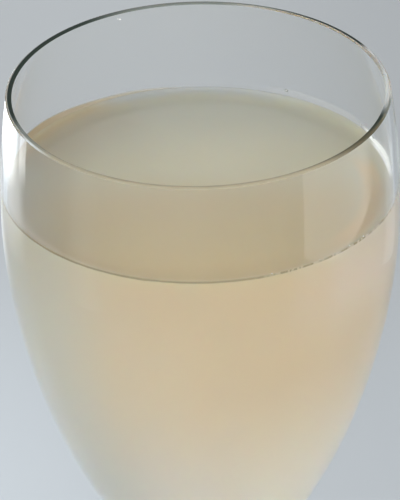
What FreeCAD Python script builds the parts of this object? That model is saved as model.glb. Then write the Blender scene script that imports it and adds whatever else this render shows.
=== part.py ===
import FreeCAD, Part
import os
import math

# A stemmed glass filled with peach liqueur.
# Two solids, both turned about the vertical axis:
#   glass    - the bowl, the stem and the foot, one piece of clear glass
#   liqueur  - the drink, from the inside floor of the bowl up to its level,
#              with the small rise where it wets the wall
# Millimetres, +Z up, origin in the middle of the foot's underside.

os.makedirs("parts", exist_ok=True)

# ---------------------------------------------------------------- sizes
TOTAL_HEIGHT = 172.0          # table to lip

# bowl, outside
RIM_RADIUS = 31.95            # outer radius at the lip
BELLY_RADIUS = 33.40          # widest outer radius
BELLY_DROP = 22.6             # widest place, below the lip
BOWL_LENGTH = 71.6            # from the widest place down to the closed end
LOWER_POWER_Z = 1.76          # how quickly the lower bowl starts to close
LOWER_POWER_R = 1.58          # how blunt its closed end is
UPPER_POWER = 2.30            # how the wall leans in above the belly

# bowl, inside
WALL = 1.0                    # wall at the lip and the belly
LIP_RISE = 0.25               # the lip is nearly flat, its two edges softened
FLOOR = 3.4                   # glass under the drink, on the axis

# drink
LEVEL_DROP = 18.5             # flat free surface, below the lip
MENISCUS_RISE = 1.5           # how far the drink climbs the wall
MENISCUS_RUN = 3.0            # how far from the wall the rise starts

# stem
STEM_RADIUS = 3.7             # thinnest place
BLEND_RADIUS = 8.6            # outer radius where the bowl hands over to the stem
STEM_TOP_LENGTH = 19.0        # length of that hand-over
STEM_WAIST_Z = 36.0           # height of the thinnest place
STEM_FOOT_Z = 6.4             # height where the stem spreads into the foot
STEM_FOOT_RADIUS = 7.0        # its radius there

# foot
FOOT_RADIUS = 32.5
FOOT_EDGE = 1.6               # thickness of the edge
REST_INNER = 26.5             # flat resting ring, inner radius
REST_OUTER = 31.8             # flat resting ring, outer radius
FOOT_HOLLOW = 1.5             # how far the underside rises at the axis

PROFILE_STEPS = 28            # stations along a bowl curve

Z_RIM = TOTAL_HEIGHT
Z_BELLY = TOTAL_HEIGHT - BELLY_DROP
Z_LEVEL = TOTAL_HEIGHT - LEVEL_DROP
BELLY_INNER = BELLY_RADIUS - WALL
RIM_INNER = RIM_RADIUS - WALL
LENGTH_INNER = BOWL_LENGTH - FLOOR
LIP_Z = Z_RIM - LIP_RISE


def V(r, z):
    return FreeCAD.Vector(r, 0.0, z)


def bowl_radius(z, belly, rim, length):
    """Radius of a bowl surface at height z."""
    if z >= Z_BELLY:
        up = (z - Z_BELLY) / BELLY_DROP
        return belly - (belly - rim) * up ** UPPER_POWER
    low = min((Z_BELLY - z) / length, 1.0)
    return belly * (1.0 - low ** LOWER_POWER_Z) ** (1.0 / LOWER_POWER_R)


def bowl_point(angle, belly, length):
    """Point of the lower bowl by angle: 0 at the belly, 90 deg on the axis."""
    c = max(math.cos(angle), 0.0)
    s = math.sin(angle)
    z = Z_BELLY - length * s ** (2.0 / LOWER_POWER_Z)
    return V(belly * c ** (2.0 / LOWER_POWER_R), z)


def spline(points, start=None, end=None):
    curve = Part.BSplineCurve()
    if start is not None and end is not None:
        curve.interpolate(Points=points, InitialTangent=start, FinalTangent=end,
                          Scale=True)
    else:
        curve.interpolate(points)
    return curve


def angle_for_radius(radius, belly):
    return math.acos((radius / belly) ** (LOWER_POWER_R / 2.0))


def upper_points(belly, rim, length, z_top):
    pts = []
    n = PROFILE_STEPS // 3
    for i in range(n):
        z = z_top + (Z_BELLY - z_top) * i / float(n)
        pts.append(V(bowl_radius(z, belly, rim, length), z))
    return pts


def lower_points(belly, length, last_angle):
    pts = []
    for i in range(PROFILE_STEPS + 1):
        pts.append(bowl_point(last_angle * i / float(PROFILE_STEPS), belly, length))
    return pts


def unit(a, b):
    d = b.sub(a)
    d.normalize()
    return d


def bezier(p0, t0, p1, t1, reach0, reach1):
    """Cubic that leaves p0 along t0 and reaches p1 along t1."""
    c = Part.BezierCurve()
    c.setPoles([p0, p0.add(FreeCAD.Vector(t0).multiply(reach0)),
                p1.sub(FreeCAD.Vector(t1).multiply(reach1)), p1])
    return c


def turned(edges, name):
    wire = Part.Wire(edges)
    face = Part.Face(wire)
    solid = face.revolve(FreeCAD.Vector(0, 0, 0), FreeCAD.Vector(0, 0, 1), 360)
    if solid.ShapeType != "Solid":
        solid = solid.Solids[0]
    if solid.Volume < 0:
        solid.reverse()
    print(name, solid.ShapeType, "valid", solid.isValid(),
          "volume %.1f" % solid.Volume)
    return solid


# ---------------------------------------------------------------- bowl curves
# outside: lip -> belly -> hand-over to the stem
blend_angle = angle_for_radius(BLEND_RADIUS, BELLY_RADIUS)
outer_pts = (upper_points(BELLY_RADIUS, RIM_RADIUS, BOWL_LENGTH, LIP_Z)
             + lower_points(BELLY_RADIUS, BOWL_LENGTH, blend_angle))
near = bowl_point(blend_angle - 1e-3, BELLY_RADIUS, BOWL_LENGTH)
outer_start = unit(outer_pts[0], V(bowl_radius(LIP_Z - 0.01, BELLY_RADIUS, RIM_RADIUS, BOWL_LENGTH), LIP_Z - 0.01))
outer_end = unit(near, outer_pts[-1])
outer_curve = spline(outer_pts, outer_start, outer_end)

# inside: lip -> belly -> floor on the axis
inner_pts = (upper_points(BELLY_INNER, RIM_INNER, LENGTH_INNER, LIP_Z)
             + lower_points(BELLY_INNER, LENGTH_INNER, math.pi / 2.0))
inner_start = unit(inner_pts[0], V(bowl_radius(LIP_Z - 0.01, BELLY_INNER, RIM_INNER, LENGTH_INNER), LIP_Z - 0.01))
inner_curve = spline(inner_pts, inner_start, FreeCAD.Vector(-1, 0, 0))

# the drink touches the inside curve at this height
Z_CONTACT = Z_LEVEL + MENISCUS_RISE
contact_guess = V(bowl_radius(Z_CONTACT, BELLY_INNER, RIM_INNER, LENGTH_INNER), Z_CONTACT)
u_contact = inner_curve.parameter(contact_guess)
u_first, u_last = inner_curve.FirstParameter, inner_curve.LastParameter
contact = inner_curve.value(u_contact)
floor_point = inner_curve.value(u_last)

wall_dry = inner_curve.toShape(u_first, u_contact)
wall_wet = inner_curve.toShape(u_contact, u_last)

# ---------------------------------------------------------------- stem and foot
blend_start = outer_pts[-1]
waist = V(STEM_RADIUS, STEM_WAIST_Z)
stem_top = V(STEM_RADIUS + 0.25, blend_start.z - STEM_TOP_LENGTH)
down = FreeCAD.Vector(0, 0, -1)
hand_over = bezier(blend_start, outer_end, stem_top,
                   unit(V(STEM_RADIUS + 0.25, 1.0), V(STEM_RADIUS + 0.235, 0.0)),
                   6.2, 9.0).toShape()
shaft_top = bezier(stem_top, unit(V(STEM_RADIUS + 0.25, 1.0), V(STEM_RADIUS + 0.235, 0.0)),
                   waist, down, 7.0, 8.0).toShape()
stem_foot = V(STEM_FOOT_RADIUS, STEM_FOOT_Z)
spread_dir = FreeCAD.Vector(0.86, 0, -0.51)
spread_dir.normalize()
shaft_low = bezier(waist, down, stem_foot, spread_dir, 17.0, 4.2).toShape()

edge_top = V(FOOT_RADIUS - 0.55, FOOT_EDGE)
edge_dir = FreeCAD.Vector(1.0, 0, -0.075)
edge_dir.normalize()
foot_top = bezier(stem_foot, spread_dir, edge_top, edge_dir, 6.0, 13.0).toShape()

rest_outer = V(REST_OUTER, 0.0)
rest_inner = V(REST_INNER, 0.0)
edge_mid = V(FOOT_RADIUS, FOOT_EDGE * 0.52)
foot_edge_up = bezier(edge_top, edge_dir, edge_mid, down, 0.35, 0.42).toShape()
foot_edge_low = bezier(edge_mid, down, rest_outer, FreeCAD.Vector(-1, 0, 0), 0.48, 0.42).toShape()
rest = Part.LineSegment(rest_outer, rest_inner).toShape()
hollow_top = V(0.0, FOOT_HOLLOW)
hollow = bezier(rest_inner, FreeCAD.Vector(-1, 0, 0), hollow_top, FreeCAD.Vector(-1, 0, 0),
                7.0, 12.0).toShape()

# lip: a low half ellipse from the outer wall over to the inner wall
lip_out = outer_pts[0]
lip_in = inner_pts[0]
lip_centre = V((lip_out.x + lip_in.x) / 2.0, LIP_Z)
lip_mid = V(lip_centre.x, Z_RIM)
lip_ellipse = Part.Ellipse(lip_out, lip_mid, lip_centre)
lip = Part.Edge(lip_ellipse, lip_ellipse.parameter(lip_out), lip_ellipse.parameter(lip_out) + math.pi)
if (lip.valueAt(lip.LastParameter / 2.0 + lip.FirstParameter / 2.0).z < LIP_Z):
    lip = Part.Edge(lip_ellipse, lip_ellipse.parameter(lip_out) - math.pi, lip_ellipse.parameter(lip_out))

axis_glass = Part.LineSegment(hollow_top, floor_point).toShape()

glass = turned([outer_curve.toShape(), hand_over, shaft_top, shaft_low, foot_top,
                foot_edge_up, foot_edge_low, rest, hollow, axis_glass,
                wall_wet, wall_dry, lip], "glass")

# ---------------------------------------------------------------- drink
# the free surface: flat in the middle, curling up to the wall
flat_edge = V(contact.x - MENISCUS_RUN, Z_LEVEL)
centre = V(0.0, Z_LEVEL)
flat = Part.LineSegment(centre, flat_edge).toShape()
curl = bezier(flat_edge, FreeCAD.Vector(1, 0, 0), contact,
              unit(V(0, 0), V(0.34, 0.94)), 1.75, 0.85).toShape()
axis_drink = Part.LineSegment(floor_point, centre).toShape()
liqueur = turned([flat, curl, wall_wet, axis_drink], "liqueur")

for name, shape in (("glass", glass), ("liqueur", liqueur)):
    shape.exportStep("parts/%s.step" % name)
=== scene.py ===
import bpy, math, random
from mathutils import Vector, Matrix, noise


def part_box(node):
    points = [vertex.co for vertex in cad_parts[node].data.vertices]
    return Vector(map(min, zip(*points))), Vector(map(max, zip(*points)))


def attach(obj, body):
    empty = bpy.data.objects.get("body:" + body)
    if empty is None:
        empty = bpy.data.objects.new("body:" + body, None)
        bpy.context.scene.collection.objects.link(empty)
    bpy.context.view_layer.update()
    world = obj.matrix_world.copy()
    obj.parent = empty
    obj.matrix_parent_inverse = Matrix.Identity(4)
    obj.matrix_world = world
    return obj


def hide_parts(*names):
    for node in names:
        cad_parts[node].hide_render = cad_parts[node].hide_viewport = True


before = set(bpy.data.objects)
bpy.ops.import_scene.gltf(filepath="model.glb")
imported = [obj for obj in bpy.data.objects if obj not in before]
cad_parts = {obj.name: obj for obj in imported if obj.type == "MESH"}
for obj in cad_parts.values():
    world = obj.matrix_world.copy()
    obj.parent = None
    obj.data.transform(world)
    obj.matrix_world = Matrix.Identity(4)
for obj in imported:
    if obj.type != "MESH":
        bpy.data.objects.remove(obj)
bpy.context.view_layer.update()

random.seed(20)

# ------------------------------------------------------------------ sizes (metres)
MM = 0.001
g_lo, g_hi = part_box("glass")
l_lo, l_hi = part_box("liqueur")
H = g_hi[2]                              # lip
R_FOOT = 32.5 * MM
R_RIM = 31.95 * MM
R_BELLY = 33.40 * MM
BELLY_DROP = 22.6 * MM
BOWL_LENGTH = 71.6 * MM
POW_Z, POW_R, POW_UP = 1.76, 1.58, 2.30
WALL = 1.0 * MM
FLOOR = 3.4 * MM
Z_CONTACT = l_hi[2]                      # where the drink ends on the wall
MENISCUS = 1.5 * MM
MENISCUS_RUN = 3.0 * MM
Z_LEVEL = Z_CONTACT - MENISCUS
Z_BELLY = H - BELLY_DROP
LIP_RISE = 0.25 * MM                     # the lip is ground flat and only softened by fire
LIP_Z = H - LIP_RISE
SEG = 288                                # stations round the axis


# ------------------------------------------------------------------ profile curves
def bowl_radius(z, belly, rim, length):
    if z >= Z_BELLY:
        up = (z - Z_BELLY) / BELLY_DROP
        return belly - (belly - rim) * up ** POW_UP
    low = min((Z_BELLY - z) / length, 1.0)
    return belly * (1.0 - low ** POW_Z) ** (1.0 / POW_R)


def lower_point(a, belly, length):
    c, s = max(math.cos(a), 0.0), math.sin(a)
    return (belly * c ** (2.0 / POW_R), Z_BELLY - length * s ** (2.0 / POW_Z))


def bowl_curve(belly, rim, length, z_top, a_last, n_up, n_low):
    pts = []
    hs = [z_top - d * MM for d in (0.0, 0.015, 0.05, 0.13, 0.3, 0.62)] if z_top > Z_CONTACT + 1e-5 else [z_top]
    hs += [z_top + (Z_BELLY - z_top) * i / n_up for i in range(1, n_up)]
    for z in hs:
        pts.append((bowl_radius(z, belly, rim, length), z))
    for i in range(n_low + 1):
        pts.append(lower_point(a_last * i / n_low, belly, length))
    return pts


def bez(p0, t0, p1, t1, k0, k1, n):
    c0 = (p0[0] + t0[0] * k0, p0[1] + t0[1] * k0)
    c1 = (p1[0] - t1[0] * k1, p1[1] - t1[1] * k1)
    out = []
    for i in range(1, n + 1):
        t = i / n
        s = 1 - t
        out.append(tuple(s**3 * p0[j] + 3*s*s*t * c0[j] + 3*s*t*t * c1[j] + t**3 * p1[j] for j in (0, 1)))
    return out


def unit(a, b):
    dx, dz = b[0] - a[0], b[1] - a[1]
    d = math.hypot(dx, dz)
    return (dx / d, dz / d)


def glass_profile():
    """Closed profile from the axis under the foot, round the outside, over the lip and down inside."""
    a_blend = math.acos((8.6 * MM / R_BELLY) ** (POW_R / 2.0))
    outer = bowl_curve(R_BELLY, R_RIM, BOWL_LENGTH, LIP_Z, a_blend, 18, 46)
    near = lower_point(a_blend - 1e-3, R_BELLY, BOWL_LENGTH)
    t_end = unit(near, outer[-1])
    stem_top = (3.95 * MM, outer[-1][1] - 19.0 * MM)
    t_stem = unit((3.95, 1.0), (3.935, 0.0))
    waist = (3.7 * MM, 36.0 * MM)
    down = (0.0, -1.0)
    stem_foot = (7.0 * MM, 6.4 * MM)
    spread = unit((0, 0), (0.86, -0.51))
    edge_top = (R_FOOT - 0.55 * MM, 1.6 * MM)
    t_edge = unit((0, 0), (1.0, -0.075))
    edge_mid = (R_FOOT, 1.6 * 0.52 * MM)
    rest_o, rest_i = (31.8 * MM, 0.0), (26.5 * MM, 0.0)
    p = list(outer)
    p += bez(p[-1], t_end, stem_top, t_stem, 6.2 * MM, 9.0 * MM, 16)
    p += bez(stem_top, t_stem, waist, down, 7.0 * MM, 8.0 * MM, 10)
    p += bez(waist, down, stem_foot, spread, 17.0 * MM, 4.2 * MM, 20)
    p += bez(stem_foot, spread, edge_top, t_edge, 6.0 * MM, 13.0 * MM, 18)
    p += bez(edge_top, t_edge, edge_mid, down, 0.35 * MM, 0.42 * MM, 6)
    p += bez(edge_mid, down, rest_o, (-1.0, 0.0), 0.48 * MM, 0.42 * MM, 6)
    p += [(rest_o[0] + (rest_i[0] - rest_o[0]) * i / 3.0, 0.0) for i in (1, 2, 3)]
    p += bez(rest_i, (-1.0, 0.0), (0.0, 1.5 * MM), (-1.0, 0.0), 7.0 * MM, 12.0 * MM, 14)
    p.reverse()                                       # axis under the foot ... outer lip
    lip_from = len(p) - 1
    inner = bowl_curve(R_BELLY - WALL, R_RIM - WALL, BOWL_LENGTH - FLOOR, LIP_Z, math.pi / 2.0, 18, 60)
    inner[-1] = (0.0, inner[-1][1])
    mid = R_RIM - WALL / 2.0
    lip = []
    for i in range(1, 24):
        a = math.pi * i / 24.0
        lip.append((mid + WALL / 2.0 * math.cos(a), LIP_Z + LIP_RISE * math.sin(a)))
    return p + lip + inner, lip_from, lip_from + len(lip) + 1


def lathe(name, profile, seg=SEG, slot_of=None, wobble=None):
    """Turn a profile whose first and last points are on the axis."""
    verts, faces, mats = [], [], []
    n = len(profile)
    ring = []
    for k, (r, z) in enumerate(profile):
        if r < 1e-7:
            ring.append([len(verts)])
            verts.append((0.0, 0.0, z))
        else:
            base = len(verts)
            ring.append(list(range(base, base + seg)))
            for j in range(seg):
                a = 2 * math.pi * j / seg
                rr, zz = (r, z) if wobble is None else wobble(r, z, a)
                verts.append((rr * math.cos(a), rr * math.sin(a), zz))
    for k in range(n - 1):
        A, B = ring[k], ring[k + 1]
        m = 0 if slot_of is None else slot_of(k)
        for j in range(seg):
            j2 = (j + 1) % seg
            if len(A) == 1 and len(B) == 1:
                continue
            if len(A) == 1:
                f = (A[0], B[j2], B[j])
            elif len(B) == 1:
                f = (A[j], A[j2], B[0])
            else:
                f = (A[j], A[j2], B[j2], B[j])
            faces.append(f)
            mats.append(m)
    me = bpy.data.meshes.new(name)
    me.from_pydata(verts, [], faces)
    me.polygons.foreach_set("material_index", mats)
    me.polygons.foreach_set("use_smooth", [True] * len(faces))
    me.update()
    ob = bpy.data.objects.new(name, me)
    bpy.context.scene.collection.objects.link(ob)
    return ob


# ------------------------------------------------------------------ node helpers
def new_mat(name):
    m = bpy.data.materials.new(name)
    m.use_nodes = True
    nt = m.node_tree
    bsdf = next(n for n in nt.nodes if n.type == "BSDF_PRINCIPLED")
    out = next(n for n in nt.nodes if n.type == "OUTPUT_MATERIAL")
    return m, nt, bsdf, out


def put(node, **values):
    for key, v in values.items():
        node.inputs[key.replace("_", " ")].default_value = v


def mapped_noise(nt, scale, detail=3.0, rough=0.5, stretch=(1, 1, 1), coord="Object"):
    tc = nt.nodes.new("ShaderNodeTexCoord")
    mp = nt.nodes.new("ShaderNodeMapping")
    mp.inputs["Scale"].default_value = stretch
    nz = nt.nodes.new("ShaderNodeTexNoise")
    nz.inputs["Scale"].default_value = scale
    nz.inputs["Detail"].default_value = detail
    nz.inputs["Roughness"].default_value = rough
    nt.links.new(tc.outputs[coord], mp.inputs["Vector"])
    nt.links.new(mp.outputs["Vector"], nz.inputs["Vector"])
    return nz.outputs["Fac"]


def remap(nt, socket, a0, a1, b0, b1, smooth=False):
    m = nt.nodes.new("ShaderNodeMapRange")
    m.interpolation_type = "SMOOTHSTEP" if smooth else "LINEAR"
    m.inputs["From Min"].default_value = a0
    m.inputs["From Max"].default_value = a1
    m.inputs["To Min"].default_value = b0
    m.inputs["To Max"].default_value = b1
    nt.links.new(socket, m.inputs["Value"])
    return m.outputs["Result"]


def mix_rgb(nt, fac, c1, c2, mode="MIX"):
    m = nt.nodes.new("ShaderNodeMix")
    m.data_type = "RGBA"
    m.blend_type = mode
    for key, c in ((6, c1), (7, c2)):
        if isinstance(c, (tuple, list)):
            m.inputs[key].default_value = (*c, 1.0)
        else:
            nt.links.new(c, m.inputs[key])
    if isinstance(fac, (int, float)):
        m.inputs[0].default_value = fac
    else:
        nt.links.new(fac, m.inputs[0])
    return m.outputs[2]


def srgb(*c):
    out = []
    for v in c:
        v /= 255.0
        out.append(v / 12.92 if v <= 0.04045 else ((v + 0.055) / 1.055) ** 2.4)
    return tuple(out)


def height(nt):
    tc = nt.nodes.new("ShaderNodeTexCoord")
    sep = nt.nodes.new("ShaderNodeSeparateXYZ")
    nt.links.new(tc.outputs["Object"], sep.inputs[0])
    return sep.outputs["Z"]


def added(nt, a, b, k=1.0):
    m = nt.nodes.new("ShaderNodeMath")
    m.operation = "MULTIPLY_ADD"
    nt.links.new(b, m.inputs[0])
    m.inputs[1].default_value = k
    nt.links.new(a, m.inputs[2])
    return m.outputs[0]


def product(nt, a, b):
    m = nt.nodes.new("ShaderNodeMath")
    m.operation = "MULTIPLY"
    nt.links.new(a, m.inputs[0])
    nt.links.new(b, m.inputs[1])
    return m.outputs[0]


def radius(nt):
    """Distance from the axis."""
    tc = nt.nodes.new("ShaderNodeTexCoord")
    flat_xy = nt.nodes.new("ShaderNodeVectorMath")
    flat_xy.operation = "MULTIPLY"
    flat_xy.inputs[1].default_value = (1, 1, 0)
    nt.links.new(tc.outputs["Object"], flat_xy.inputs[0])
    r_here = nt.nodes.new("ShaderNodeVectorMath")
    r_here.operation = "LENGTH"
    nt.links.new(flat_xy.outputs[0], r_here.inputs[0])
    return r_here.outputs["Value"]


def by_angle(nt, stops, space=(0, 0, 0)):
    """Colour that changes round the axis; stops are (degrees from +X towards +Y, colour)."""
    tc = nt.nodes.new("ShaderNodeTexCoord")
    sep = nt.nodes.new("ShaderNodeSeparateXYZ")
    nt.links.new(tc.outputs["Object"], sep.inputs[0])
    at = nt.nodes.new("ShaderNodeMath")
    at.operation = "ARCTAN2"
    nt.links.new(sep.outputs["Y"], at.inputs[0])
    nt.links.new(sep.outputs["X"], at.inputs[1])
    turn = remap(nt, at.outputs[0], -math.pi, math.pi, 0.0, 1.0)
    ramp = nt.nodes.new("ShaderNodeValToRGB")
    ramp.color_ramp.interpolation = "EASE"
    els = ramp.color_ramp.elements
    stops = sorted(((a + 180.0) / 360.0, c) for a, c in stops)
    els[0].position, els[0].color = stops[0][0], (*stops[0][1], 1)
    els[1].position, els[1].color = stops[-1][0], (*stops[-1][1], 1)
    for pos, c in stops[1:-1]:
        e = els.new(pos)
        e.color = (*c, 1)
    nt.links.new(turn, ramp.inputs["Fac"])
    return ramp.outputs["Color"]


def by_depth(nt, stops):
    """Colour that changes from the near side to the far side; stops are (y in mm, colour)."""
    tc = nt.nodes.new("ShaderNodeTexCoord")
    sep = nt.nodes.new("ShaderNodeSeparateXYZ")
    nt.links.new(tc.outputs["Object"], sep.inputs[0])
    lo, hi = stops[0][0], stops[-1][0]
    along = remap(nt, sep.outputs["Y"], lo * MM, hi * MM, 0.0, 1.0)
    ramp = nt.nodes.new("ShaderNodeValToRGB")
    ramp.color_ramp.interpolation = "EASE"
    els = ramp.color_ramp.elements
    els[0].position, els[0].color = 0.0, (*stops[0][1], 1)
    els[1].position, els[1].color = 1.0, (*stops[-1][1], 1)
    for y, c in stops[1:-1]:
        e = els.new((y - lo) / (hi - lo))
        e.color = (*c, 1)
    nt.links.new(along, ramp.inputs["Fac"])
    return ramp.outputs["Color"]


def grey(v):
    return (v, v, v)


# ------------------------------------------------------------------ glass
prof, lip_a, lip_b = glass_profile()
glass = lathe("bowl_stem_foot", prof, slot_of=lambda k: 1 if lip_a <= k < lip_b else 0)
gm, nt, b, out = new_mat("clear_glass")
put(b, Base_Color=(1, 1, 1, 1), IOR=1.5, Transmission_Weight=1.0, Roughness=0.0)
# a faint warm tint is painted on the near wall above the level: a painted reflection in place of the warmer look
# through the front wall
NEAR_WALL_WARM_TINT = (0.98, 0.94, 0.895)
near_wall_tint_mask = product(nt, remap(nt, height(nt), Z_CONTACT - 0.2 * MM, Z_CONTACT + 1.0 * MM, 0.0, 1.0, True),
               by_angle(nt, [(-180, (0, 0, 0)), (-152, (0, 0, 0)), (-132, (1, 1, 1)), (-48, (1, 1, 1)), (-28, (0, 0, 0)), (180, (0, 0, 0))]))
tint = mix_rgb(nt, near_wall_tint_mask, (1.0, 1.0, 1.0), NEAR_WALL_WARM_TINT)
# the drink wets the far wall a little above its edge: its own tone at the left; at the right a near-white painted
# highlight, fading to a faint pale band further back
climb_h = by_angle(nt, [(-180, grey(0)), (-1, grey(0)), (2, grey(0.85)), (8, grey(1)), (28, grey(0.36)), (36, grey(0.74)), (66, grey(0.8)), (74, grey(0)),
                        (90, grey(0)), (115, grey(0.31)), (152, grey(0.86)), (172, grey(0.8)), (180, grey(0))])
z_wet = added(nt, height(nt), climb_h, -1.8 * MM)
inside = remap(nt, radius(nt), R_BELLY - WALL + 0.5 * MM, R_BELLY - WALL + 0.4 * MM, 0.0, 1.0)
inside = product(nt, inside, remap(nt, height(nt), Z_CONTACT - 0.6 * MM, Z_CONTACT - 0.5 * MM, 0.0, 1.0))
at_wet = product(nt, remap(nt, z_wet, Z_CONTACT + 0.26 * MM, Z_CONTACT - 0.26 * MM, 0.0, 1.0, True), inside)
wet_and_glint_on = by_angle(nt, [(-180, grey(0)), (-1, grey(0)), (4, grey(0.6)), (9, grey(1)), (26, grey(1)), (29, grey(0.7)), (32, grey(0.25)), (45, grey(0.25)), (58, grey(0.15)),
                       (66, grey(0.1)), (72, grey(0)), (90, grey(0)), (97, grey(0.9)), (172, grey(1)), (180, grey(0))])
wet_and_glint_tone = by_angle(nt, [(-180, (0.95, 0.95, 0.94)), (78, (0.95, 0.95, 0.94)), (84, (0.55, 0.53, 0.44)), (108, (0.56, 0.53, 0.43)), (128, (0.60, 0.51, 0.37)),
                         (150, (0.62, 0.51, 0.34)), (180, (0.56, 0.50, 0.38))])
wet = product(nt, at_wet, wet_and_glint_on)
nt.links.new(mix_rgb(nt, wet, tint, wet_and_glint_tone), b.inputs["Base Color"])
nt.links.new(remap(nt, wet, 0.0, 1.0, 1.0, 0.0), b.inputs["Transmission Weight"])
# painted highlight: where it is widest the wet edge is given an emission glow, in place of the window's reflection
glint_glow = by_angle(nt, [(-180, grey(0)), (-1, grey(0)), (3, grey(1)), (26, grey(1)), (30, grey(0)), (180, grey(0))])
b.inputs["Emission Color"].default_value = (0.95, 1.0, 0.97, 1)
nt.links.new(remap(nt, product(nt, at_wet, glint_glow), 0.0, 1.0, 0.0, 0.55), b.inputs["Emission Strength"])
bump = nt.nodes.new("ShaderNodeBump")
bump.inputs["Strength"].default_value = 0.05
bump.inputs["Distance"].default_value = 0.0006
nt.links.new(mapped_noise(nt, 55.0, 1.0, 0.4, (1, 1, 0.45)), bump.inputs["Height"])
nt.links.new(bump.outputs["Normal"], b.inputs["Normal"])
va = nt.nodes.new("ShaderNodeVolumeAbsorption")
va.inputs["Color"].default_value = (0.72, 0.90, 0.88, 1)
va.inputs["Density"].default_value = 20.0
nt.links.new(va.outputs["Volume"], out.inputs["Volume"])
glass.data.materials.append(gm)


# the lip: fire-polished; its edge is painted with tones round the ring, painted shade where it faces the unlit side of
# the room
lm, nt, b, out = new_mat("glass_lip")
put(b, IOR=1.5, Transmission_Weight=1.0, Roughness=0.0)
def lip_tone(r, g, b):
    return tuple(v / 0.72 for v in srgb(r, g, b))


# Five painted tones, standing in for the light and shade the lip shows. The edge is painted dark at both sides, where
# it is seen along its length, warm in front of the drink, grey in front of the clear wall, and nearly clear in one
# short stretch at the right.
DARK, SHADE = lip_tone(50, 58, 54), lip_tone(86, 82, 66)
WARM, GREY, PALE = lip_tone(157, 150, 130), lip_tone(114, 121, 118), lip_tone(195, 200, 200)
# (degrees, tone of the lip, how clear it is there)
LIP = [(-180, DARK, 0.0), (-168, DARK, 0.0), (-156, GREY, 0.2), (-135, WARM, 0.3), (-72, WARM, 0.2), (-36, SHADE, 0.0), (-18, DARK, 0.0),
       (-4, PALE, 0.6), (24, PALE, 0.9), (30, DARK, 0.0), (48, DARK, 0.0), (72, GREY, 0.2), (104, GREY, 0.2), (130, DARK, 0.0), (180, DARK, 0.0)]
tint = by_angle(nt, [(d, c) for d, c, t in LIP])
clear = by_angle(nt, [(d, (t, t, t)) for d, c, t in LIP])
shift = by_angle(nt, [(-180, grey(0.27)), (-100, grey(0.27)), (-75, grey(0.7)), (-60, grey(0.88)), (-45, grey(0.72)), (-30, grey(0.52)), (-12, grey(0.50)), (5, grey(0.27)), (24, grey(0.1)), (30, grey(0)), (62, grey(0)),
                      (84, grey(0.27)), (180, grey(0.27))])
r_ring = added(nt, radius(nt), shift, 0.55 * MM)
ring_out = remap(nt, r_ring, R_RIM + 0.02 * MM, R_RIM - 0.20 * MM, 0.0, 1.0, True)
# painted shade: far right only the outer part is dark
cut = remap(nt, radius(nt), R_RIM - 0.82 * MM, R_RIM - 0.60 * MM, 0.0, 1.0, True)
cut_on = by_angle(nt, [(-180, grey(0)), (20, grey(0)), (30, grey(1)), (62, grey(1)), (84, grey(0)), (180, grey(0))])
ring_out = product(nt, ring_out, mix_rgb(nt, cut_on, (1.0, 1.0, 1.0), cut))
# painted light: in front the outer part of the lip is painted with the light running out through its whole width,
# elsewhere its outer part stays clear
outer_tint = by_angle(nt, [(-180, grey(1)), (-156, grey(1)), (-150, PALE), (-138, WARM), (-58, WARM), (-32, SHADE), (-21, SHADE), (-8, GREY), (2, grey(1)), (180, grey(1))])
outer_clear = by_angle(nt, [(-180, grey(1)), (-158, grey(1)), (-150, grey(0.2)), (-140, grey(0.2)), (-8, grey(0.2)), (2, grey(1)), (180, grey(1))])
nt.links.new(mix_rgb(nt, ring_out, outer_tint, tint), b.inputs["Base Color"])
nt.links.new(mix_rgb(nt, ring_out, outer_clear, clear), b.inputs["Transmission Weight"])
b.inputs["Specular IOR Level"].default_value = 0.0
glass.data.materials.append(lm)
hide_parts("glass")
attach(glass, "root")

# ------------------------------------------------------------------ drink
BITE = 0.12 * MM                         # how far the drink reaches into the wall


def drink_profile():
    side = bowl_curve(R_BELLY - WALL, R_RIM - WALL, BOWL_LENGTH - FLOOR, Z_CONTACT, math.pi / 2.0, 10, 60)
    side = [(r + BITE, z) for r, z in side[:-1]] + [(0.0, side[-1][1] - BITE)]
    side.reverse()                                    # floor on the axis ... contact line
    r_c = side[-1][0] - BITE
    flat_edge = (r_c - MENISCUS_RUN, Z_LEVEL)
    curl = bez(flat_edge, (1.0, 0.0), (r_c, Z_CONTACT), unit((0, 0), (0.34, 0.94)), 1.75 * MM, 0.85 * MM, 14)
    curl.reverse()
    flat = [(flat_edge[0] * (1 - i / 14.0), Z_LEVEL) for i in range(0, 15)]
    return side, curl + flat


side, top = drink_profile()
n_side = len(side)
drink = lathe("peach_drink", side + top, slot_of=lambda k: 0 if k < n_side - 1 else 1)

BODY = (0.80, 0.668, 0.46)
BODY_2 = (0.835, 0.705, 0.495)
# painted light and shade: paler low in the bowl, where light comes through the thin drink, duller at the left and
# brighter at the right
LOW_TONE_PAINTED_LIGHT = ((-180, (0.768, 0.722, 0.62)), (-125, (0.768, 0.722, 0.62)), (-92, (0.86, 0.795, 0.69)), (-58, (0.93, 0.875, 0.755)), (60, (0.93, 0.875, 0.755)),
        (130, (0.80, 0.76, 0.66)), (180, (0.775, 0.74, 0.65)))
# painted shade: a dark line where the drink ends on the wall, standing in for the dark edge of the meniscus
CONTACT_SHADE_LINE = (0.40, 0.32, 0.20)                # the dark line where the drink ends on the wall
# painted light: the body is painted cooler at the left, on the window side, and warmer and brighter high on the right
LEFT_COOL_LIGHT, RIGHT_WARM_LIGHT = (0.776, 0.714, 0.558), (0.878, 0.779, 0.645)  # cooler on the window side
# painted light and painted reflection: the surface is painted greyer towards the far side, away from the light, and
# warmer at the near wall, where light comes in from the side
TOP_LIGHT_AND_SHEEN = ((-30, (0.755, 0.625, 0.345)), (-14, (0.70, 0.60, 0.36)), (-7, (0.693, 0.60, 0.38)), (7, (0.70, 0.668, 0.495)), (30, (0.615, 0.615, 0.505)))

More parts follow.
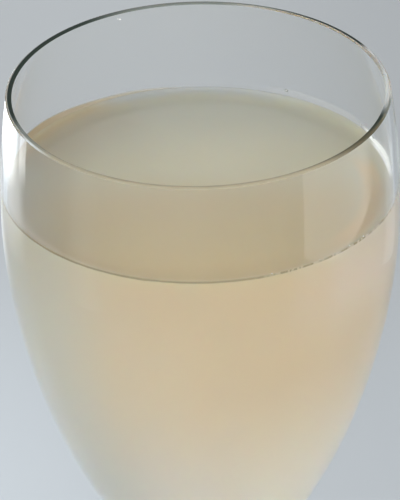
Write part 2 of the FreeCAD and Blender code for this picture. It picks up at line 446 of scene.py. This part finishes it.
sm, nt, b, out = new_mat("drink_body")
n1 = mapped_noise(nt, 28.0, 3.0, 0.5)
col = mix_rgb(nt, remap(nt, n1, 0.3, 0.7, 0.0, 1.0), BODY, BODY_2)
zz = height(nt)
left_light_amt = by_angle(nt, [(-180, grey(1)), (-140, grey(1)), (-113, grey(0)), (110, grey(0)), (150, grey(1)), (180, grey(1))])
col = mix_rgb(nt, left_light_amt, col, LEFT_COOL_LIGHT)
right_light_amt = by_angle(nt, [(-180, grey(0)), (-68, grey(0)), (-56, grey(0.4)), (-42, grey(0.95)), (-30, grey(1)), (25, grey(1)), (70, grey(0)), (180, grey(0))])
col = mix_rgb(nt, product(nt, right_light_amt, remap(nt, zz, 0.136, 0.149, 0.12, 1.0, True)), col, RIGHT_WARM_LIGHT)
col = mix_rgb(nt, remap(nt, zz, 0.136, 0.100, 0.0, 1.0, True), col, by_angle(nt, LOW_TONE_PAINTED_LIGHT))
wav = mapped_noise(nt, 260.0, 2.0, 0.6)
zl = added(nt, zz, wav, 0.25 * MM)
edge = remap(nt, zl, Z_CONTACT - 0.36 * MM, Z_CONTACT - 0.16 * MM, 0.0, 1.0, True)
# the line breaks up into short dashes towards the right
gaps = remap(nt, mapped_noise(nt, 900.0, 2.0, 0.7, (1, 1, 0.2)), 0.42, 0.56, 0.3, 1.0, True)
broken = by_angle(nt, [(-180, grey(0)), (-80, grey(0)), (-62, grey(1)), (0, grey(1)), (180, grey(0))])
edge = product(nt, edge, mix_rgb(nt, broken, (1, 1, 1), gaps))
col = mix_rgb(nt, edge, col, CONTACT_SHADE_LINE)
nt.links.new(col, b.inputs["Base Color"])
put(b, Roughness=0.35, IOR=1.06, Subsurface_Weight=0.5, Subsurface_Scale=0.004)
b.inputs["Subsurface Radius"].default_value = (1.0, 0.7, 0.4)

tm, nt2, b2, out2 = new_mat("drink_surface")
n2 = mapped_noise(nt2, 30.0, 3.0, 0.5)
col2 = mix_rgb(nt2, 1.0, by_depth(nt2, TOP_LIGHT_AND_SHEEN), mix_rgb(nt2, remap(nt2, n2, 0.3, 0.7, 0.0, 1.0), (0.98, 0.98, 0.975), (1.02, 1.02, 1.025)), "MULTIPLY")
# painted light and shade: the foot of the ring where the drink climbs the wall is painted glowing at the front right
# and dim olive at the left and back left, for the light through the wall
rr2 = radius(nt2)
GLOW_PAINTED, OLIVE_SHADE = (0.84, 0.63, 0.33), (0.50, 0.465, 0.35)
glow_at = product(nt2, remap(nt2, rr2, 26.4 * MM, 28.4 * MM, 0.0, 1.0, True), remap(nt2, rr2, 31.4 * MM, 29.6 * MM, 0.0, 1.0, True))
glow_amt = by_angle(nt2, [(-180, grey(0)), (-48, grey(0)), (-30, grey(0.7)), (10, grey(0.75)), (24, grey(0)), (180, grey(0))])
col2 = mix_rgb(nt2, product(nt2, glow_at, glow_amt), col2, GLOW_PAINTED)
dim_at = remap(nt2, rr2, 18.0 * MM, 28.5 * MM, 0.0, 1.0, True)
dim_amt = by_angle(nt2, [(-180, grey(0.45)), (-155, grey(0.36)), (-128, grey(0)), (104, grey(0)), (125, grey(0.4)), (150, grey(0.5)), (165, grey(0.45)), (180, grey(0.45))])
dim_col = by_angle(nt2, [(-180, OLIVE_SHADE), (108, (0.57, 0.49, 0.36)), (152, (0.57, 0.49, 0.36)), (170, OLIVE_SHADE), (180, OLIVE_SHADE)])
col2 = mix_rgb(nt2, product(nt2, dim_at, dim_amt), col2, dim_col)
# painted light: the thin climbing edge is coloured round the ring as if light and the background showed through it
zt = height(nt2)
climb = remap(nt2, zt, Z_LEVEL + 0.10 * MM, Z_LEVEL + 1.0 * MM, 0.0, 1.0, True)
climb_painted_col = by_angle(nt2, [(-180, (0.50, 0.47, 0.37)), (-60, (0.80, 0.76, 0.61)), (8, (0.78, 0.74, 0.60)), (50, (0.60, 0.59, 0.46)), (66, (0.50, 0.53, 0.53)),
                         (112, (0.50, 0.53, 0.53)), (128, (0.555, 0.475, 0.335)), (160, (0.555, 0.475, 0.335)), (180, (0.50, 0.47, 0.37))])
climb_painted_amt = by_angle(nt2, [(-180, grey(0.9)), (-150, grey(0.7)), (-130, grey(0)), (-55, grey(0)), (-40, grey(0.6)), (12, grey(0.7)), (30, grey(0.3)), (60, grey(0.3)), (72, grey(0.8)), (105, grey(1)), (128, grey(0.9)),
                         (160, grey(0.9)), (180, grey(0.9))])
col2 = mix_rgb(nt2, product(nt2, climb, climb_painted_amt), col2, climb_painted_col)
# painted highlight: at the right the wet edge is painted near white and given a faint emission glow
rim_glint = product(nt2, remap(nt2, zt, Z_CONTACT - 0.62 * MM, Z_CONTACT - 0.25 * MM, 0.0, 1.0, True),
                 by_angle(nt2, [(-180, grey(0)), (-1, grey(0)), (5, grey(1)), (18, grey(1)), (27, grey(0)), (180, grey(0))]))
col2 = mix_rgb(nt2, rim_glint, col2, (0.95, 0.95, 0.93))
b2.inputs["Emission Color"].default_value = (0.95, 1.0, 0.97, 1)
nt2.links.new(remap(nt2, rim_glint, 0.0, 1.0, 0.0, 0.4), b2.inputs["Emission Strength"])
nt2.links.new(col2, b2.inputs["Base Color"])
put(b2, Roughness=0.22, IOR=1.37, Subsurface_Weight=0.5, Subsurface_Scale=0.004)
b2.inputs["Subsurface Radius"].default_value = (1.0, 0.7, 0.4)
drink.data.materials.append(sm)
drink.data.materials.append(tm)
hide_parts("liqueur")
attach(drink, "root")

# ------------------------------------------------------------------ beads
# tiny beads: on the wet line, just above it at the back, and one speck under the lip. The white beads are painted
# highlights, the grey ones dull drops; one drop carries a white bead.
R_CONTACT = bowl_radius(Z_CONTACT, R_BELLY - WALL, R_RIM - WALL, BOWL_LENGTH - FLOOR)
BEADS = (  # degrees, height, radius of the bead, flatness, slot
    (62.2, Z_CONTACT + 1.06 * MM, 0.36 * MM, 0.30, 1), (62.2, Z_CONTACT + 1.10 * MM, 0.15 * MM, 1.7, 0),
    (22.0, Z_CONTACT + 0.85 * MM, 0.22 * MM, 0.6, 1), (-42.4, Z_CONTACT - 0.02 * MM, 0.15 * MM, 0.8, 0), (-35.9, Z_CONTACT, 0.19 * MM, 0.8, 0),
    (-35.2, Z_CONTACT - 0.25 * MM, 0.13 * MM, 0.8, 0), (-69.6, Z_CONTACT - 0.02 * MM, 0.14 * MM, 0.8, 0), (-54.0, Z_CONTACT + 0.02 * MM, 0.10 * MM, 0.8, 0),
    (114.8, H - 1.35 * MM, 0.20 * MM, 0.5, 0), (115.6, H - 1.15 * MM, 0.12 * MM, 0.5, 0))
bv, bf_, bm = [], [], []
for deg, z, rad, flat_k, mat_i in BEADS:
    a = math.radians(deg)
    r_here = bowl_radius(z, R_BELLY - WALL, R_RIM - WALL, BOWL_LENGTH - FLOOR) if z > Z_CONTACT + 0.4 * MM else R_CONTACT
    out_x = Vector((math.cos(a), math.sin(a), 0.0))
    side_x = Vector((-math.sin(a), math.cos(a), 0.0))
    centre_b = out_x * r_here + Vector((0, 0, z))
    base = len(bv)
    rows, cols = 9, 16
    for i in range(rows + 1):
        t = math.pi * i / rows
        for j in range(cols if 0 < i < rows else 1):
            ph = 2 * math.pi * j / cols
            k = 1.0 + 0.10 * noise.noise(Vector((math.sin(t) * math.cos(ph) * 1.3 + deg, math.sin(t) * math.sin(ph) * 1.3, t)))
            d = side_x * (math.sin(t) * math.cos(ph)) + Vector((0, 0, 1)) * (0.85 * math.sin(t) * math.sin(ph)) - out_x * (flat_k * math.cos(t))
            bv.append(centre_b + d * (rad * k))
    last = len(bv) - 1
    for j in range(cols):
        j2 = (j + 1) % cols
        bf_.append((base, base + 1 + j2, base + 1 + j))
        for i in range(rows - 2):
            a0, a1 = base + 1 + i * cols, base + 1 + (i + 1) * cols
            bf_.append((a0 + j, a0 + j2, a1 + j2, a1 + j))
        a0 = base + 1 + (rows - 2) * cols
        bf_.append((a0 + j, a0 + j2, last))
        bm.extend([mat_i] * rows)
me = bpy.data.meshes.new("beads")
me.from_pydata([tuple(v) for v in bv], [], bf_)
me.polygons.foreach_set("material_index", bm)
me.polygons.foreach_set("use_smooth", [True] * len(bf_))
me.update()
beads = bpy.data.objects.new("beads", me)
bpy.context.scene.collection.objects.link(beads)
for nm, c1, c2, rough in (("bead_white_highlight", (0.93, 0.94, 0.94), (1.0, 1.0, 1.0), 0.15), ("bead_dull", (0.40, 0.42, 0.41), (0.48, 0.50, 0.48), 0.3)):
    bmat, ntb, bb, outb = new_mat(nm)
    ntb.links.new(mix_rgb(ntb, mapped_noise(ntb, 2500.0, 2.0, 0.5), c1, c2), bb.inputs["Base Color"])
    put(bb, Roughness=rough, IOR=1.36)
    me.materials.append(bmat)
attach(beads, "root")

# ------------------------------------------------------------------ floor
me = bpy.data.meshes.new("table_top")
s = 2.5
DROP = -0.15 * MM                        # the floor lies a hair under the foot, so the two faces don't fight
me.from_pydata([(-s, -s, DROP), (s, -s, DROP), (s, s, DROP), (-s, s, DROP)], [], [(0, 1, 2, 3)])
floor = bpy.data.objects.new("table_top", me)
bpy.context.scene.collection.objects.link(floor)
fm, ntf, bf, outf = new_mat("table_paper")
nf = mapped_noise(ntf, 9.0, 4.0, 0.55)
tcf = ntf.nodes.new("ShaderNodeTexCoord")
sepf = ntf.nodes.new("ShaderNodeSeparateXYZ")
ntf.links.new(tcf.outputs["Object"], sepf.inputs[0])
paper = mix_rgb(ntf, nf, (0.60, 0.64, 0.67), (0.625, 0.665, 0.695))
# painted shade: the floor is darker towards the right, from x = -0.02 m to 0.06 m
floor_painted_shade = mix_rgb(ntf, remap(ntf, sepf.outputs["X"], -0.02, 0.06, 0.0, 1.0, True), (1, 1, 1), (0.86, 0.86, 0.86))
ntf.links.new(mix_rgb(ntf, 1.0, paper, floor_painted_shade, "MULTIPLY"), bf.inputs["Base Color"])
put(bf, Roughness=0.6, Specular_IOR_Level=0.2)
me.materials.append(fm)

# ------------------------------------------------------------------ camera
PHI = math.radians(29.053)
DIST = 0.960
rim = Vector((0, 0, H))
cam_pos = rim + Vector((0, -DIST * math.cos(PHI), DIST * math.sin(PHI)))
fw = (rim - cam_pos).normalized()
rt = Vector((1, 0, 0))
up = rt.cross(fw)
fw = (fw + math.tan(-0.00022) * rt + math.tan(-0.02727) * up).normalized()
rt = (rt - fw * rt.dot(fw)).normalized()
up = rt.cross(fw)
ROLL = math.radians(-1.073)
rt2 = math.cos(ROLL) * rt + math.sin(ROLL) * up
up2 = -math.sin(ROLL) * rt + math.cos(ROLL) * up
cd = bpy.data.cameras.new("camera")
cam = bpy.data.objects.new("camera", cd)
bpy.context.scene.collection.objects.link(cam)
m = Matrix((rt2, up2, -fw)).transposed().to_4x4()
m.translation = cam_pos
cam.matrix_world = m
cd.sensor_width = 36.0
cd.sensor_fit = "AUTO"
cd.lens = 5799.9 * 36.0 / 500.0
cd.clip_start = 0.05
cd.clip_end = 20.0
cd.dof.use_dof = False
bpy.context.scene.camera = cam


# ------------------------------------------------------------------ light
def area(name, pos, target, size, power, color, shape="RECTANGLE", glossy=True, transmission=True, diffuse=True, spread=180.0):
    ld = bpy.data.lights.new(name, "AREA")
    ld.shape = shape
    ld.size, ld.size_y = size
    ld.energy = power
    ld.color = color
    ld.spread = math.radians(spread)
    ob = bpy.data.objects.new(name, ld)
    bpy.context.scene.collection.objects.link(ob)
    ob.location = pos
    ob.rotation_euler = (Vector(target) - Vector(pos)).to_track_quat("-Z", "Y").to_euler()
    ob.visible_camera = False
    ob.visible_glossy = glossy
    ob.visible_transmission = transmission
    ob.visible_diffuse = diffuse
    return ob


def card(name, azimuth, dist, z0, z1, width, radiance, soft=(0.2, 0.2, 0.2, 0.2), centre=(0.0, 0.0), tilt=0.0):
    """A soft-edged panel standing round the glass, seen only as a reflection.
    azimuth: degrees from the camera side (-Y) towards +X; soft: left, right, bottom, top as shares of its size."""
    az = math.radians(azimuth)
    pos = Vector((centre[0] + dist * math.sin(az), centre[1] - dist * math.cos(az), (z0 + z1) / 2))
    ld = bpy.data.lights.new(name, "AREA")
    ld.shape = "RECTANGLE"
    ld.size, ld.size_y = width, z1 - z0
    ld.energy = math.pi * width * (z1 - z0)
    ld.use_nodes = True
    nt = ld.node_tree
    em = next(n for n in nt.nodes if n.type == "EMISSION")
    em.inputs["Color"].default_value = (*radiance, 1)
    geo = nt.nodes.new("ShaderNodeNewGeometry")
    sep = nt.nodes.new("ShaderNodeSeparateXYZ")
    nt.links.new(geo.outputs["Parametric"], sep.inputs[0])
    parts = []
    for sock, lo, hi in ((sep.outputs["X"], soft[0], soft[1]), (sep.outputs["Y"], soft[2], soft[3])):
        if lo > 0:
            parts.append(remap(nt, sock, 0.0, lo, 0.0, 1.0, True))
        if hi > 0:
            parts.append(remap(nt, sock, 1.0, 1.0 - hi, 0.0, 1.0, True))
    acc = parts[0] if parts else None
    for q in parts[1:]:
        acc = product(nt, acc, q)
    if acc is not None:
        nt.links.new(acc, em.inputs["Strength"])
    ob = bpy.data.objects.new(name, ld)
    bpy.context.scene.collection.objects.link(ob)
    z_ax = Vector((math.sin(az), -math.cos(az), 0.0))         # the panel's back; it shines towards the axis
    x_ax = Vector((0, 0, 1)).cross(z_ax)
    m = Matrix((x_ax, Vector((0, 0, 1)), z_ax)).transposed().to_4x4()
    m = m @ Matrix.Rotation(math.radians(tilt), 4, "Z")
    m.translation = pos
    ob.matrix_world = m
    ob.visible_camera = False
    ob.visible_diffuse = False
    ob.visible_transmission = False
    return ob


def panel(azimuth, elevation, height, radiance):
    """A large soft panel on a 2 m dome round the glass; azimuth from behind the glass (+Y) towards +X."""
    az, el, dist = math.radians(azimuth), math.radians(elevation), 2.0
    d = Vector((math.sin(az) * math.cos(el), math.cos(az) * math.cos(el), math.sin(el)))
    width = 2 * dist * math.cos(el) * math.tan(math.pi / 8)
    big = max(radiance)
    return area("panel_%03d_%02d" % (azimuth, elevation), Vector((0, 0, 0.02)) + d * dist, (0, 0, 0.12), (width, height),
                big * math.pi * width * height, tuple(c / big for c in radiance))


for az, el, h, rgb in (
        (90, 7, 0.5, (3.17, 3.00, 2.76)), (135, 7, 0.5, (3.17, 3.00, 2.76)), (180, 7, 0.5, (2.44, 2.33, 2.19)),
        (225, 7, 0.5, (1.55, 1.80, 2.10)), (270, 7, 0.5, (1.22, 1.46, 1.84)),
        (0, 25, 0.75, (0.81, 0.85, 0.89)), (135, 25, 0.75, (0.62, 0.58, 0.53)), (180, 25, 0.75, (2.77, 2.79, 2.79)),
        (225, 25, 0.75, (1.50, 1.64, 1.78)),
        (0, 50, 0.85, (0.42, 0.40, 0.38)), (225, 50, 0.85, (0.16, 0.17, 0.19)), (315, 50, 0.85, (0.92, 0.88, 0.82))):
    panel(az, el, h, rgb).visible_camera = el < 10


def pool(name, x, y, rgb, r=0.11, h=0.9):
    """A soft spot on the table near the foot."""
    ld = bpy.data.lights.new(name, "SPOT")
    big = max(rgb)
    ld.energy = 60.0 * big
    ld.color = tuple(c / big for c in rgb)
    ld.spot_size = 2 * math.atan(r / h) * 1.3
    ld.spot_blend = 1.0
    ld.shadow_soft_size = 0.03
    ob = bpy.data.objects.new(name, ld)
    bpy.context.scene.collection.objects.link(ob)
    ob.location = (x * 1.6, y * 1.6, h)
    ob.rotation_euler = (Vector((x, y, 0)) - Vector(ob.location)).to_track_quat("-Z", "Y").to_euler()
    ob.visible_camera = False
    ob.visible_glossy = False
    return ob


for name, x, y, rgb in (("pool_f", 0.0, -0.14, (0.396, 0.373, 0.343)), ("pool_fl", -0.14, -0.10, (0.336, 0.373, 0.41)),
                        ("pool_fr", 0.14, -0.10, (0.276, 0.261, 0.24)), ("pool_l", -0.16, 0.04, (0.125, 0.139, 0.153)),
                        ("pool_lb", -0.12, 0.14, (0.144, 0.16, 0.176)), ("pool_r", 0.16, 0.04, (0.356, 0.341, 0.321)),
                        ("pool_rb", 0.12, 0.14, (0.087, 0.096, 0.106))):
    pool(name, x, y, rgb)

card("edge_left", -149, 0.18, 0.062, 0.118, 0.156, (5.5, 5.8, 5.8), soft=(0.10, 0.30, 0.50, 0.25), centre=(-0.03, -0.012))
card("edge_left_top", -123, 0.18, 0.073, 0.110, 0.034, (2.6, 2.7, 2.75), soft=(0.3, 0.06, 0.45, 0.1), centre=(-0.03, -0.012))
card("line_left", -157, 0.16, 0.040, 0.080, 0.10, (0.46, 0.47, 0.48), soft=(0.1, 0.4, 0.5, 0.1))
card("low_left", -131, 0.24, 0.0, 0.09, 0.17, (1.25, 1.32, 1.36), soft=(0.05, 0.28, 0.6, 0.3))
card("side_left", -66, 0.24, 0.0, 0.15, 0.10, (0.30, 0.33, 0.37), soft=(0.4, 0.4, 0.0, 0.3))
card("band_right", 79.5, 0.24, 0.034, 0.15, 0.26, (1.35, 1.35, 1.33), soft=(0.025, 0.26, 0.05, 0.19), centre=(0.0046, 0.0246))
card("edge_right", 134, 0.24, 0.0, 0.15, 0.10, (0.25, 0.27, 0.30), soft=(0.3, 0.2, 0.0, 0.3))

w = bpy.data.worlds.new("studio")
bpy.context.scene.world = w
w.use_nodes = True
bg = next(n for n in w.node_tree.nodes if n.type == "BACKGROUND")
bg.inputs["Color"].default_value = (1.0, 1.0, 1.0, 1)
bg.inputs["Strength"].default_value = 0.45

sc = bpy.context.scene
sc.view_settings.view_transform = "Standard"
sc.cycles.max_bounces = 80
sc.cycles.transmission_bounces = 64
sc.cycles.glossy_bounces = 56
sc.cycles.diffuse_bounces = 6
sc.cycles.transparent_max_bounces = 16
sc.cycles.caustics_reflective = True
sc.cycles.caustics_refractive = True
